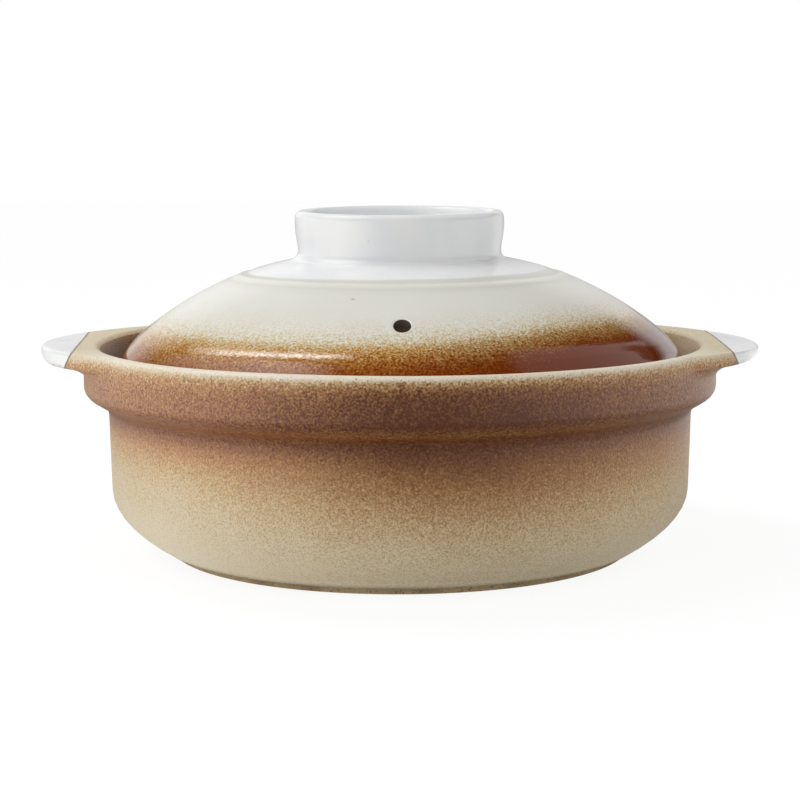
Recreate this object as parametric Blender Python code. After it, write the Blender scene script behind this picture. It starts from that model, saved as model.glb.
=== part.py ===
"""Clay casserole pot with a domed lid, of the kind used on a stove and carried to the table.

Five solids of fired clay. The pot is one turned body with a band round its rim, a ledge for the
lid inside it and a low foot ring, and a lug handle is joined to the band on each side. The lid is
a turned dome with one steam hole and a hollow ring knob joined to its crown. Lengths are metres,
+Z is up, the handles lie along X, the steam hole faces -Y, and the origin is the middle of the
foot ring on the table.
"""

import math

import bmesh
import bpy

# Pot, outside
POT_HEIGHT = 0.0863  # table to the top of the rim
BAND_RADIUS = 0.1300  # outside of the band round the rim
BAND_HEIGHT = 0.0194  # rim top to the band's lower edge
BAND_STEP = 0.0098  # how far the band stands out from the body
BAND_UNDERCUT = 0.0060  # how far the band's underside falls as it runs in to the body
BAND_ROUNDING = 0.0033  # length of the curve above and below that underside
RIM_WALL = 0.0057  # thickness of the rim at its top
RIM_OUTER_ROUNDING = 0.0025
RIM_INNER_ROUNDING = 0.0016
BODY_TAPER = 0.0011  # how much narrower the wall is at the bend than under the band
BEND_HEIGHT = 0.0270  # table to where the wall starts to curve in
FOOT_INSET = 0.0241  # body wall to the outside of the foot ring
FOOT_HEIGHT = 0.0030
FOOT_WIDTH = 0.0085
FOOT_CHAMFER = 0.0008
FOOT_OVERHANG = 0.0041  # how far the body reaches past the top of the foot ring
RECESS_HEIGHT = 0.0030  # table to the underside of the floor inside the foot ring

# Pot, inside
BODY_WALL = 0.0085
FLOOR_THICKNESS = 0.0080
FLOOR_BEND = 0.0260  # reach of the curve between wall and floor
SEAT_DEPTH = 0.0112  # rim top to the ledge that carries the lid
SEAT_WIDTH = 0.0060
SEAT_ROUNDING = 0.0010

# Lug handles
HANDLE_REACH = 0.0165  # past the band, on top of the feathered end
HANDLE_FEATHER = 0.0010  # thickness that is left where a lug runs out along the band
HANDLE_HALF_ANGLE = math.radians(29.5)
HANDLE_FULLNESS = 1.13  # over 1, the outline runs into the band in a hollow curve
HANDLE_DROP = 0.0010  # rim top to the lug's flat top
HANDLE_THICKNESS = 0.0069  # at the outer edge
HANDLE_ROOT = 0.0122  # at the band
HANDLE_NOSE = 0.0036  # depth of the rounded outer edge
HANDLE_NOSE_SHARE = 0.7  # most of a lug's reach that this edge may take, where the lug is shallow
HANDLE_FILLET_START = 0.15  # corner of the curve under a lug, as a share of the flat underside
HANDLE_FILLET_DEPTH = 0.25  # and of the way down to the root

# Lid
LID_PLAY = 0.0013  # free space round the lid on its ledge
LID_EDGE_HEIGHT = 0.0022  # lid's bottom to its widest line
LID_EDGE_WIDTH = 0.0062
LID_EDGE_FLAT = 0.0038  # width of the face that rests on the ledge
SKIRT_HEIGHT = 0.0116  # widest line to the shoulder
SKIRT_LEAN = 0.0079
SKIRT_BULGE = 0.0014  # how far the middle of the skirt swells past a straight line
SHOULDER_ROUNDING = 0.0040  # how far the curve over the shoulder reaches each way
DOME_RISE = 0.0340  # shoulder to crown
DOME_FULLNESS = 2.66  # power of the dome's curve: 2 is a parabola
LID_WALL = 0.0060
LID_SHOULDER_WALL = 0.0048  # measured level, inside the shoulder
STEAM_HOLE_RADIUS = 0.0032
STEAM_HOLE_SETBACK = 0.0160  # shoulder to the middle of the steam hole

# Ring knob
KNOB_RADIUS = 0.0431
KNOB_RISE = 0.0172  # crown of the dome to the top of the knob
KNOB_WALL = 0.0058
KNOB_LIP_ROUNDING = 0.0015
KNOB_WAIST = 0.0016  # how far the waist is drawn in
KNOB_LIP_DEPTH = 0.0039  # knob top to its widest line
KNOB_WAIST_DEPTH = 0.0129  # knob top to the start of the waist
KNOB_FLARE = 0.0064  # waist to the edge of the knob's root on the dome
KNOB_ROOT_EDGE = 0.0006  # thickness of that edge
KNOB_DRAFT = 0.0012  # how much the recess narrows downwards

CLEARANCE = 0.0003  # between pieces that rest on or are joined to each other

# Fineness of the round surfaces
TURNED_STEPS = 60
KNOB_STEPS = 48
HANDLE_STEPS = 20
NOSE_STEPS = 6
CURVE_STEPS = 4
ROUNDING_STEPS = 2
LIP_STEPS = 3
SKIRT_STEPS = 3
BEND_STEPS = 7
DOME_STEPS = 11
HOLLOW_STEPS = 9
ROOT_STEPS = 5
HOLE_STEPS = 20
SHARP_ANGLE = math.radians(40)


def curve(start, corner, end, steps):
    """Points of a smooth bend from start to end, drawn towards corner, without its start."""
    points = []
    for step in range(1, steps + 1):
        t = step / steps
        weights = ((1 - t) ** 2, 2 * t * (1 - t), t**2)
        points.append(tuple(sum(w * p[i] for w, p in zip(weights, (start, corner, end))) for i in (0, 1)))
    return points


def glaze(name, colour, roughness):
    """A fired glaze or bare clay as one Principled material."""
    material = bpy.data.materials.new(name)
    material.use_nodes = True
    shader = material.node_tree.nodes["Principled BSDF"]
    shader.inputs["Base Color"].default_value = (*colour, 1.0)
    shader.inputs["Roughness"].default_value = roughness
    shader.inputs["Metallic"].default_value = 0.0
    return material


def add_object(name, mesh, material, parent=None):
    """Put a mesh into the scene as one named piece."""
    if not mesh.materials:
        mesh.materials.append(material)
    piece = bpy.data.objects.new(name, mesh)
    piece.parent = parent
    bpy.context.scene.collection.objects.link(piece)
    return piece


def turned(name, outline, closed, steps, material, parent=None):
    """Turn an outline of (radius, height) points round the Z axis, as on a potter's wheel.

    The outline starts at the top and runs down its outer side. It ends on the axis unless it is
    closed, which makes a ring.
    """
    mesh = bpy.data.meshes.new(name)
    vertices = [(radius, 0.0, height) for radius, height in outline]
    edges = [(i, i + 1) for i in range(len(outline) - 1)]
    if closed:
        edges.append((len(outline) - 1, 0))
    mesh.from_pydata(vertices, edges, [])
    piece = add_object(name, mesh, material, parent)
    screw = piece.modifiers.new("Turning", "SCREW")
    screw.axis = "Z"
    screw.angle = math.tau
    screw.steps = steps
    screw.render_steps = steps
    screw.use_merge_vertices = True
    screw.merge_threshold = 0.00001
    screw.use_smooth_shade = True
    return piece


def seat_height():
    """Height of the ledge that carries the lid."""
    return POT_HEIGHT - SEAT_DEPTH


def seat_radii():
    """Inner and outer radius of that ledge."""
    inner = BAND_RADIUS - BAND_STEP - BODY_WALL
    return inner, inner + SEAT_WIDTH


def pot_outline():
    """Half section of the pot, from the middle of its floor over the rim to its underside."""
    wall_top = BAND_RADIUS - BAND_STEP
    wall_bend = wall_top - BODY_TAPER
    inner_bend = wall_bend - BODY_WALL
    floor = RECESS_HEIGHT + FLOOR_THICKNESS
    seat = seat_height()
    seat_inner, seat_outer = seat_radii()
    rim_inner = BAND_RADIUS - RIM_WALL

    points = [(0.0, floor), (inner_bend - FLOOR_BEND, floor)]
    points += curve(points[-1], (inner_bend, floor), (inner_bend, BEND_HEIGHT), BEND_STEPS)
    points.append((seat_inner, seat - SEAT_ROUNDING))
    points += curve(points[-1], (seat_inner, seat), (seat_inner + SEAT_ROUNDING, seat), ROUNDING_STEPS)

    # Ledge, its corner, and the sloping wall up to the rim
    lean = (rim_inner - seat_outer) / SEAT_DEPTH
    points.append((seat_outer - SEAT_ROUNDING, seat))
    corner_end = (seat_outer + SEAT_ROUNDING * lean, seat + SEAT_ROUNDING)
    points += curve(points[-1], (seat_outer, seat), corner_end, ROUNDING_STEPS)
    lip_start = (rim_inner - RIM_INNER_ROUNDING * lean, POT_HEIGHT - RIM_INNER_ROUNDING)
    points.append(lip_start)
    lip_end = (rim_inner + RIM_INNER_ROUNDING, POT_HEIGHT)
    points += curve(lip_start, (rim_inner, POT_HEIGHT), lip_end, LIP_STEPS)

    # Rim top and band
    points.append((BAND_RADIUS - RIM_OUTER_ROUNDING, POT_HEIGHT))
    band_top = (BAND_RADIUS, POT_HEIGHT - RIM_OUTER_ROUNDING)
    points += curve(points[-1], (BAND_RADIUS, POT_HEIGHT), band_top, CURVE_STEPS)
    band_edge = (BAND_RADIUS, POT_HEIGHT - BAND_HEIGHT)
    body_corner = (wall_top, band_edge[1] - BAND_UNDERCUT)
    middle = ((band_edge[0] + body_corner[0]) / 2, (band_edge[1] + body_corner[1]) / 2)
    points.append((BAND_RADIUS, band_edge[1] + BAND_ROUNDING))
    points += curve(points[-1], band_edge, middle, CURVE_STEPS)
    points += curve(middle, body_corner, (wall_top, body_corner[1] - BAND_ROUNDING), CURVE_STEPS)

    # Body wall, its bend, and the foot ring
    foot_outer = wall_bend - FOOT_INSET
    foot_inner = foot_outer - FOOT_WIDTH
    bend_top = (wall_bend, BEND_HEIGHT)
    bend_end = (foot_outer + FOOT_OVERHANG, FOOT_HEIGHT)
    points.append(bend_top)
    points += curve(bend_top, (wall_bend, (BEND_HEIGHT + FOOT_HEIGHT) / 2), bend_end, BEND_STEPS)
    points += [
        (foot_outer, FOOT_HEIGHT),
        (foot_outer, FOOT_CHAMFER),
        (foot_outer - FOOT_CHAMFER, 0.0),
        (foot_inner + FOOT_CHAMFER, 0.0),
        (foot_inner, FOOT_CHAMFER),
        (foot_inner - FOOT_CHAMFER, RECESS_HEIGHT),
        (0.0, RECESS_HEIGHT),
    ]
    return points


def lid_sizes():
    """Radius at the lid's widest line, and radius and height of the shoulder above it."""
    widest = seat_radii()[1] - LID_PLAY
    return widest, widest - SKIRT_LEAN, LID_EDGE_HEIGHT + SKIRT_HEIGHT


def dome_height(radius):
    """Height of the dome's outside above the lid's bottom."""
    _, shoulder_radius, shoulder_height = lid_sizes()
    return shoulder_height + DOME_RISE * (1 - (radius / shoulder_radius) ** DOME_FULLNESS)


def dome_hollow_height(radius):
    """Height of the dome's inside, a constant thickness below its outside."""
    shoulder_radius = lid_sizes()[1]
    slope = DOME_RISE * DOME_FULLNESS / shoulder_radius * (radius / shoulder_radius) ** (DOME_FULLNESS - 1)
    return dome_height(radius) - LID_WALL * math.hypot(1.0, slope)


def lid_outline():
    """Half section of the lid, from its crown down the outside and back up the hollow."""
    widest, shoulder_radius, shoulder_height = lid_sizes()
    points = []
    dome_end = shoulder_radius - SHOULDER_ROUNDING
    for step in range(DOME_STEPS + 1):
        radius = dome_end * step / DOME_STEPS
        points.append((radius, dome_height(radius)))
    edge_inner = widest - LID_EDGE_WIDTH
    rest_outer = edge_inner + SEAT_ROUNDING + LID_EDGE_FLAT
    skirt = (widest - shoulder_radius) / (shoulder_height - LID_EDGE_HEIGHT)
    rounding = LID_EDGE_HEIGHT / 2
    skirt_end = (widest - rounding * skirt, LID_EDGE_HEIGHT + rounding)
    shoulder = (shoulder_radius, shoulder_height)
    swell = ((shoulder[0] + skirt_end[0]) / 2 + 2 * SKIRT_BULGE, (shoulder[1] + skirt_end[1]) / 2)
    down = math.dist(shoulder, swell) / SHOULDER_ROUNDING
    skirt_start = tuple(s + (w - s) / down for s, w in zip(shoulder, swell))
    points += curve(points[-1], shoulder, skirt_start, ROUNDING_STEPS)
    points += curve(skirt_start, swell, skirt_end, SKIRT_STEPS)
    edge_end = (widest, LID_EDGE_HEIGHT - rounding)
    points += curve(points[-1], (widest, LID_EDGE_HEIGHT), edge_end, ROUNDING_STEPS)
    points += curve(points[-1], (widest, 0.0), (rest_outer, 0.0), CURVE_STEPS)
    points.append((edge_inner + SEAT_ROUNDING, 0.0))
    points.append((edge_inner, SEAT_ROUNDING))
    hollow_radius = shoulder_radius - LID_SHOULDER_WALL
    for step in range(HOLLOW_STEPS, -1, -1):
        radius = hollow_radius * step / HOLLOW_STEPS
        points.append((radius, dome_hollow_height(radius)))
    return points


def knob_outline():
    """Section of the ring knob, from its lip down the outside, along the dome and up the recess."""
    top = dome_height(0.0) + KNOB_RISE
    waist = KNOB_RADIUS - KNOB_WAIST
    opening = KNOB_RADIUS - KNOB_WALL
    recess = opening - KNOB_DRAFT
    root = waist + KNOB_FLARE
    lip_middle = (opening + KNOB_RADIUS) / 2
    root_edge = dome_height(root) + CLEARANCE + KNOB_ROOT_EDGE

    points = [(opening + KNOB_LIP_ROUNDING, top), (lip_middle, top)]
    widest = (KNOB_RADIUS, top - KNOB_LIP_DEPTH)
    points += curve(points[-1], (KNOB_RADIUS, top), widest, CURVE_STEPS)
    waist_start = (waist, top - KNOB_WAIST_DEPTH)
    middle_height = (widest[1] + waist_start[1]) / 2
    points += curve(widest, (KNOB_RADIUS, middle_height), waist_start, CURVE_STEPS)
    points += curve(waist_start, (waist, root_edge), (root, root_edge), ROOT_STEPS)
    for step in range(CURVE_STEPS):
        radius = root + (recess - root) * step / (CURVE_STEPS - 1)
        points.append((radius, dome_height(radius) + CLEARANCE))
    points.append((opening, top - KNOB_LIP_ROUNDING))
    points += curve(points[-1], (opening, top), points[0], CURVE_STEPS)[:-1]
    return points


def steam_hole_cutter(parent):
    """Upright round punch through the front of the dome."""
    shoulder_radius = lid_sizes()[1]
    distance = shoulder_radius - STEAM_HOLE_SETBACK
    length = 4 * LID_WALL + 2 * STEAM_HOLE_RADIUS
    shape = bmesh.new()
    bmesh.ops.create_cone(
        shape,
        cap_ends=True,
        segments=HOLE_STEPS,
        radius1=STEAM_HOLE_RADIUS,
        radius2=STEAM_HOLE_RADIUS,
        depth=length,
    )
    mesh = bpy.data.meshes.new("steam_hole_punch")
    shape.to_mesh(mesh)
    shape.free()
    punch = bpy.data.objects.new("steam_hole_punch", mesh)
    punch.parent = parent
    punch.location = (0.0, -distance, dome_height(distance) - LID_WALL / 2)
    punch.hide_render = True
    punch.display_type = "WIRE"
    bpy.context.scene.collection.objects.link(punch)
    return punch


def handle_section(reach):
    """Section of a lug where it stands out by reach, as (distance from the band, height)."""
    top = POT_HEIGHT - HANDLE_DROP
    half = HANDLE_THICKNESS / 2
    nose = min(HANDLE_NOSE, HANDLE_NOSE_SHARE * reach)
    deepening = (HANDLE_ROOT - HANDLE_THICKNESS) * reach / (HANDLE_FEATHER + HANDLE_REACH)
    points = [(0.0, top)]
    for step in range(NOSE_STEPS + 1):
        angle = math.pi / 2 - math.pi * step / NOSE_STEPS
        points.append((reach - nose + nose * math.cos(angle), top - half + half * math.sin(angle)))
    underside = points[-1]
    root = (0.0, underside[1] - deepening)
    corner = (underside[0] * HANDLE_FILLET_START, underside[1] - deepening * HANDLE_FILLET_DEPTH)
    points += curve(underside, corner, root, CURVE_STEPS)
    return points


def handle_mesh():
    """One lug, lofted through sections that stand square to the band, towards +X."""
    shape = bmesh.new()
    rings = []
    for step in range(HANDLE_STEPS + 1):
        across = 2 * step / HANDLE_STEPS - 1
        angle = across * HANDLE_HALF_ANGLE
        reach = HANDLE_FEATHER + HANDLE_REACH * (1 - across**2) ** HANDLE_FULLNESS
        ring = []
        for distance, height in handle_section(reach):
            radius = BAND_RADIUS + CLEARANCE + distance
            ring.append(shape.verts.new((radius * math.cos(angle), radius * math.sin(angle), height)))
        rings.append(ring)
    count = len(rings[0])
    for before, after in zip(rings, rings[1:]):
        for i in range(count):
            j = (i + 1) % count
            shape.faces.new((before[i], before[j], after[j], after[i]))
    shape.faces.new(rings[0][::-1])
    shape.faces.new(rings[-1])
    bmesh.ops.recalc_face_normals(shape, faces=shape.faces)
    mesh = bpy.data.meshes.new("lug_handle")
    shape.to_mesh(mesh)
    shape.free()
    mesh.shade_smooth()
    mesh.set_sharp_from_angle(angle=SHARP_ANGLE)
    return mesh


def clear_scene():
    for item in list(bpy.data.objects):
        bpy.data.objects.remove(item, do_unlink=True)


def build_pot():
    """The pot's body with a lug on each side."""
    body_glaze = glaze("sprayed_tan_glaze", (0.42, 0.23, 0.11), 0.55)
    handle_glaze = glaze("sprayed_tan_glaze_lug", (0.60, 0.44, 0.28), 0.50)
    turned("pot_body", pot_outline(), False, TURNED_STEPS, body_glaze)
    lug = handle_mesh()
    add_object("right_handle", lug, handle_glaze)
    left = add_object("left_handle", lug, handle_glaze)
    left.rotation_euler = (0.0, 0.0, math.pi)


def build_lid():
    """The lid, whose parts hang from an empty on the axis where the lid rests on its ledge."""
    lid = bpy.data.objects.new("lid", None)
    lid.location = (0.0, 0.0, seat_height() + CLEARANCE)
    bpy.context.scene.collection.objects.link(lid)
    lid_glaze = glaze("grey_cream_glaze", (0.68, 0.65, 0.57), 0.30)
    knob_glaze = glaze("white_glaze", (0.83, 0.83, 0.82), 0.20)
    dome = turned("lid_dome", lid_outline(), False, TURNED_STEPS, lid_glaze, lid)
    punch = dome.modifiers.new("Steam hole", "BOOLEAN")
    punch.operation = "DIFFERENCE"
    punch.solver = "EXACT"
    punch.object = steam_hole_cutter(lid)
    turned("lid_knob", knob_outline(), True, KNOB_STEPS, knob_glaze, lid)


clear_scene()
build_pot()
build_lid()
bpy.context.view_layer.update()
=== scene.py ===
"""Clay casserole pot with a lift-off lid, in sprayed and dipped stoneware glaze.

Lengths in the outlines are millimetres; Blender's own are metres. The pot stands on Z = 0, its lug
handles lie along X and the steam hole of its lid faces -Y.
"""

import math

import bmesh
import bpy
from mathutils import Matrix, Vector


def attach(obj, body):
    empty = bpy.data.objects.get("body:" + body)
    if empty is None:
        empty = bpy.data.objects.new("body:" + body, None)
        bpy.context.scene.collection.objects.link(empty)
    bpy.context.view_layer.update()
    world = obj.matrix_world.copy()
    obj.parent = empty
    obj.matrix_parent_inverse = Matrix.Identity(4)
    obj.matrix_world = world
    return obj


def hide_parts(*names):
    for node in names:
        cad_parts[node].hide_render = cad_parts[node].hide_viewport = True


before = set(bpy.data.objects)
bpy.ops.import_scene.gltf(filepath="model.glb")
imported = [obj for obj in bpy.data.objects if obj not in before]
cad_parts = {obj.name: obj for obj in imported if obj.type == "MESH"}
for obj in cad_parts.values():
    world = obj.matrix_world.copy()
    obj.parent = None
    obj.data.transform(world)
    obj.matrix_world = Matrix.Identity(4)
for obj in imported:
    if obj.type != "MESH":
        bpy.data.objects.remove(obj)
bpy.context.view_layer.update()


# The pot
# One turned stoneware bowl, 26 cm over the band round its rim, with a ledge inside for the lid and
# a low foot ring. Rust glaze is sprayed over cream, thickest on the band; the foot is left bare.

MM = 0.001
POT_TOP = 86.3
POT_FLOOR = 11.0
WELL_RADIUS = 111.7
LEDGE_HEIGHT, LEDGE_RADIUS = 75.1, 117.7
MOUTH_RADIUS = 124.3
BAND_RADIUS, BAND_EDGE = 130.0, 66.9
WALL_TOP, WALL_TOP_RADIUS = 60.9, 120.2
WALL_BEND, WALL_BEND_RADIUS = 15.0, 119.1
FOOT_HEIGHT, FOOT_RADIUS, FOOT_INNER_RADIUS = 3.0, 95.0, 86.5
POT_SEGMENTS = 320
SPRAYED, INSIDE, BARE = 0, 1, 2


def bend(start, corner, end, steps):
    """Points of a smooth bend from start to end, drawn towards corner."""
    points = []
    for step in range(steps + 1):
        t = step / steps
        weights = ((1 - t) ** 2, 2 * t * (1 - t), t**2)
        points.append(tuple(sum(w * p[i] for w, p in zip(weights, (start, corner, end))) for i in (0, 1)))
    return points


def outline_through(corners, longest=2.5, steps=7):
    """Outline of (radius, height, coat) points through rounded corners.

    A corner is (radius, height, rounding before it, rounding after it, coat from there on).
    """
    places = [Vector(corner[:2]) for corner in corners]
    outline = []
    for number, (_, _, before, after, coat) in enumerate(corners):
        here = places[number]
        if before and after:
            start = here + (places[number - 1] - here).normalized() * before
            end = here + (places[(number + 1) % len(places)] - here).normalized() * after
            points = bend(start, here, end, steps)
        else:
            points = [tuple(here)]
        if outline:
            last = Vector(outline[-1][:2])
            gap = Vector(points[0]) - last
            pieces = max(1, math.ceil(gap.length / longest))
            for piece in range(1, pieces):
                outline.append((*(last + gap * piece / pieces), outline[-1][2]))
        outline += [(*point, coat) for point in points]
    return outline


def hand_made(radius, height, angle):
    """The slight waviness that throwing and drying leave in a round form."""
    outward = min(1.0, max(0.0, (radius - 118.0) / 8.0))
    upward = outward * min(1.0, max(0.0, (height - 60.0) / 20.0))
    radius += outward * (0.10 * math.sin(2 * angle + 0.7) + 0.04 * math.sin(5 * angle + 2.0))
    height += upward * (0.09 * math.sin(3 * angle + 0.4) + 0.05 * math.sin(7 * angle + 1.9))
    return radius, height


def at_angle(radius, height, angle):
    """A point in metres, from millimetres out and up and an angle round the Z axis."""
    return radius * MM * math.cos(angle), radius * MM * math.sin(angle), height * MM


def finish_mesh(solid, name, sharp=None):
    """Turn a bmesh into an object with smooth shading and its faces pointing out."""
    bmesh.ops.recalc_face_normals(solid, faces=solid.faces)
    mesh = bpy.data.meshes.new(name)
    solid.to_mesh(mesh)
    solid.free()
    mesh.shade_smooth()
    if sharp:
        mesh.set_sharp_from_angle(angle=math.radians(sharp))
    piece = bpy.data.objects.new(name, mesh)
    bpy.context.scene.collection.objects.link(piece)
    return piece


def turned_rings(solid, outline, segments, shape, closed=False):
    """Turn an outline round the Z axis, and return its rings of vertices."""
    rings = []
    for radius, height, _ in outline:
        if radius < 0.01:
            rings.append([solid.verts.new((0.0, 0.0, height * MM))])
            continue
        ring = []
        for step in range(segments):
            angle = math.tau * step / segments
            ring.append(solid.verts.new(at_angle(*shape(radius, height, angle), angle)))
        rings.append(ring)
    pairs = list(zip(rings, rings[1:], outline))
    if closed:
        pairs.append((rings[-1], rings[0], outline[-1]))
    for one, other, (_, _, coat) in pairs:
        for step in range(segments):
            after = (step + 1) % segments
            near = (one[step % len(one)], one[after % len(one)])
            far = (other[after % len(other)], other[step % len(other)])
            solid.faces.new(list(dict.fromkeys(near + far))).material_index = coat
    return rings


pot_outline = outline_through(
    [
        (0.0, POT_FLOOR, 0, 0, INSIDE),
        (WELL_RADIUS - 1.1, POT_FLOOR, 26.0, 16.0, INSIDE),
        (WELL_RADIUS, LEDGE_HEIGHT, 1.0, 1.0, INSIDE),
        (LEDGE_RADIUS, LEDGE_HEIGHT, 1.0, 1.4, INSIDE),
        (MOUTH_RADIUS, POT_TOP, 1.8, 1.6, SPRAYED),
        (BAND_RADIUS, POT_TOP, 2.5, 2.5, SPRAYED),
        (BAND_RADIUS, BAND_EDGE, 3.3, 3.3, SPRAYED),
        (WALL_TOP_RADIUS, WALL_TOP, 3.3, 3.3, SPRAYED),
        (WALL_BEND_RADIUS, WALL_BEND, 12.0, 23.0, SPRAYED),
        (FOOT_RADIUS + 4.0, FOOT_HEIGHT, 0.5, 0.5, BARE),
        (FOOT_RADIUS, FOOT_HEIGHT, 0.8, 0.6, BARE),
        (FOOT_RADIUS, 0.0, 0.8, 0.8, BARE),
        (FOOT_INNER_RADIUS, 0.0, 0.8, 0.8, BARE),
        (FOOT_INNER_RADIUS - 0.8, FOOT_HEIGHT, 0.8, 0.8, BARE),
        (0.0, FOOT_HEIGHT, 0, 0, BARE),
    ]
)
pot_solid = bmesh.new()
turned_rings(pot_solid, pot_outline, POT_SEGMENTS, hand_made)
pot = finish_mesh(pot_solid, "glazed_pot")


def colour(red, green, blue):
    """A colour given as it looks on a screen, from 0 to 255, as Blender's linear values."""
    values = []
    for value in (red / 255, green / 255, blue / 255):
        values.append(value / 12.92 if value <= 0.04045 else ((value + 0.055) / 1.055) ** 2.4)
    return (*values, 1.0)


def feed(tree, made, inputs):
    """Give each of a node's sockets its value, or link the output that feeds it."""
    for socket, value in inputs.items():
        if isinstance(value, bpy.types.NodeSocket):
            tree.links.new(value, made.inputs[socket])
        else:
            made.inputs[socket].default_value = value
    return made


def add(tree, kind, inputs=None, **settings):
    """A new node of a tree."""
    made = tree.nodes.new("ShaderNode" + kind)
    for name, value in settings.items():
        setattr(made, name, value)
    return feed(tree, made, inputs or {})


def maths(tree, operation, first, second=0.0, third=0.0, clamp=False):
    return add(tree, "Math", {0: first, 1: second, 2: third}, operation=operation, use_clamp=clamp).outputs[0]


def product(tree, first, *others):
    for other in others:
        first = maths(tree, "MULTIPLY", first, other)
    return first


def steps_of(tree, factor, stops):
    """A ramp through stops of (position, grey value or colour), in order of position."""
    made = add(tree, "ValToRGB", {0: factor})
    elements = made.color_ramp.elements
    for number, (position, value) in enumerate([stops[0], stops[-1], *stops[1:-1]]):
        element = elements[number] if number < 2 else elements.new(position)
        element.position = position
        element.color = value if isinstance(value, tuple) else (value, value, value, 1.0)
    return made.outputs[0]


def fired(tree, tone, stops):
    """A ramp of the colours that a glaze fires to, from stops of (tone, red, green, blue)."""
    return steps_of(tree, tone, [(position, colour(*shade)) for position, *shade in stops])


def fade(tree, value, start, end):
    """0 at start, 1 at end and smooth between."""
    return add(tree, "MapRange", {0: value, 1: start, 2: end}, interpolation_type="SMOOTHSTEP").outputs[0]


def blend_colour(tree, factor, first, second):
    return add(tree, "Mix", {0: factor, 6: first, 7: second}, data_type="RGBA").outputs[2]


def blend_value(tree, factor, first, second):
    return add(tree, "Mix", {0: factor, 2: first, 3: second}, data_type="FLOAT").outputs[0]


def effect(name, inputs, outputs):
    """An empty shader group with named inputs of (name, kind, value) and outputs of (name, kind)."""
    tree = bpy.data.node_groups.new(name, "ShaderNodeTree")
    for socket, kind, value in inputs:
        made = tree.interface.new_socket(name=socket, in_out="INPUT", socket_type="NodeSocket" + kind)
        made.default_value = value
    for socket, kind in outputs:
        tree.interface.new_socket(name=socket, in_out="OUTPUT", socket_type="NodeSocket" + kind)
    return tree, tree.nodes.new("NodeGroupInput"), tree.nodes.new("NodeGroupOutput")


def place(tree, group, inputs=None):
    """One use of a group in a material or in another group."""
    made = tree.nodes.new("ShaderNodeGroup")
    made.node_tree = group
    return feed(tree, made, inputs or {})


def coords(tree):
    return add(tree, "TexCoord").outputs["Object"]


def height_of(tree, at):
    return add(tree, "SeparateXYZ", {0: at}).outputs[2]


def turn_of(tree, at):
    """How far round a point lies: 0.5 is the front, 0.25 the left, 0.75 the right, 0 and 1 the back."""
    split = add(tree, "SeparateXYZ", {0: at})
    front = product(tree, split.outputs[1], -1.0)
    return maths(tree, "MULTIPLY_ADD", maths(tree, "ARCTAN2", split.outputs[0], front), 1 / math.tau, 0.5)


def noise(tree, at, size, detail=2.0):
    """Noise from 0 to 1 whose blotches are about size metres across."""
    return add(tree, "TexNoise", {"Vector": at, "Scale": 1 / size, "Detail": detail}).outputs[0]


# Sprayed glaze lands as drops about a millimetre wide, so thin cover breaks up into specks.
specks, inlet, outlet = effect(
    "sprayed_specks",
    [("Cover", "Float", 0.5), ("Contrast", "Float", 0.3)],
    [("Tone", "Float"), ("Grain", "Float")],
)
at = coords(specks)
fine = noise(specks, at, 0.00078, 0.6)
coarse = noise(specks, at, 0.0015, 1.0)
cloudy = noise(specks, at, 0.022)
drops = add(specks, "TexVoronoi", {"Vector": at, "Scale": 1 / 0.0011})
one_in_four = add(specks, "SeparateColor", {0: drops.outputs["Color"]}).outputs[0]
one_in_four = maths(specks, "GREATER_THAN", one_in_four, 0.72)
drop = product(specks, fade(specks, drops.outputs["Distance"], 0.42, 0.22), one_in_four)
# The specks stand out most where the cover is middling.
cover = inlet.outputs["Cover"]
middle = product(specks, cover, maths(specks, "SUBTRACT", 1.0, cover), 3.2)
middle = maths(specks, "ADD", middle, product(specks, fade(specks, cover, 0.0, 0.10), 0.32))
reach = product(specks, middle, inlet.outputs["Contrast"])
spread = product(specks, maths(specks, "SUBTRACT", fine, 0.5), 3.1)
spread = maths(specks, "MULTIPLY_ADD", maths(specks, "SUBTRACT", coarse, 0.5), 1.3, spread)
spread = maths(specks, "MULTIPLY_ADD", drop, 0.55, spread)
tone = maths(specks, "MULTIPLY_ADD", spread, reach, cover)
tone = maths(specks, "MULTIPLY_ADD", maths(specks, "SUBTRACT", cloudy, 0.5), 0.10, tone, clamp=True)
grain = maths(specks, "MULTIPLY_ADD", coarse, 1.4, maths(specks, "MULTIPLY_ADD", drop, 0.4, fine))
feed(specks, outlet, {"Tone": tone, "Grain": grain})

# The pot's own spray, by height. It is thickest and reaches lowest at the front; round the sides, most of all
# on the left, it is thinner and ends higher. It breaks to amber on the band's lower edge.
pot_spray, inlet, outlet = effect(
    "pot_spray", [], [("Color", "Color"), ("Roughness", "Float"), ("Grain", "Float")]
)
at = coords(pot_spray)
round_pot = turn_of(pot_spray, at)
height = product(pot_spray, height_of(pot_spray, at), 1 / (POT_TOP * MM))


def by_height(points):
    """A ramp of cover on the pot from points of (height in mm, cover)."""
    return steps_of(pot_spray, height, [(up / POT_TOP, value) for up, value in points])


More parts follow.
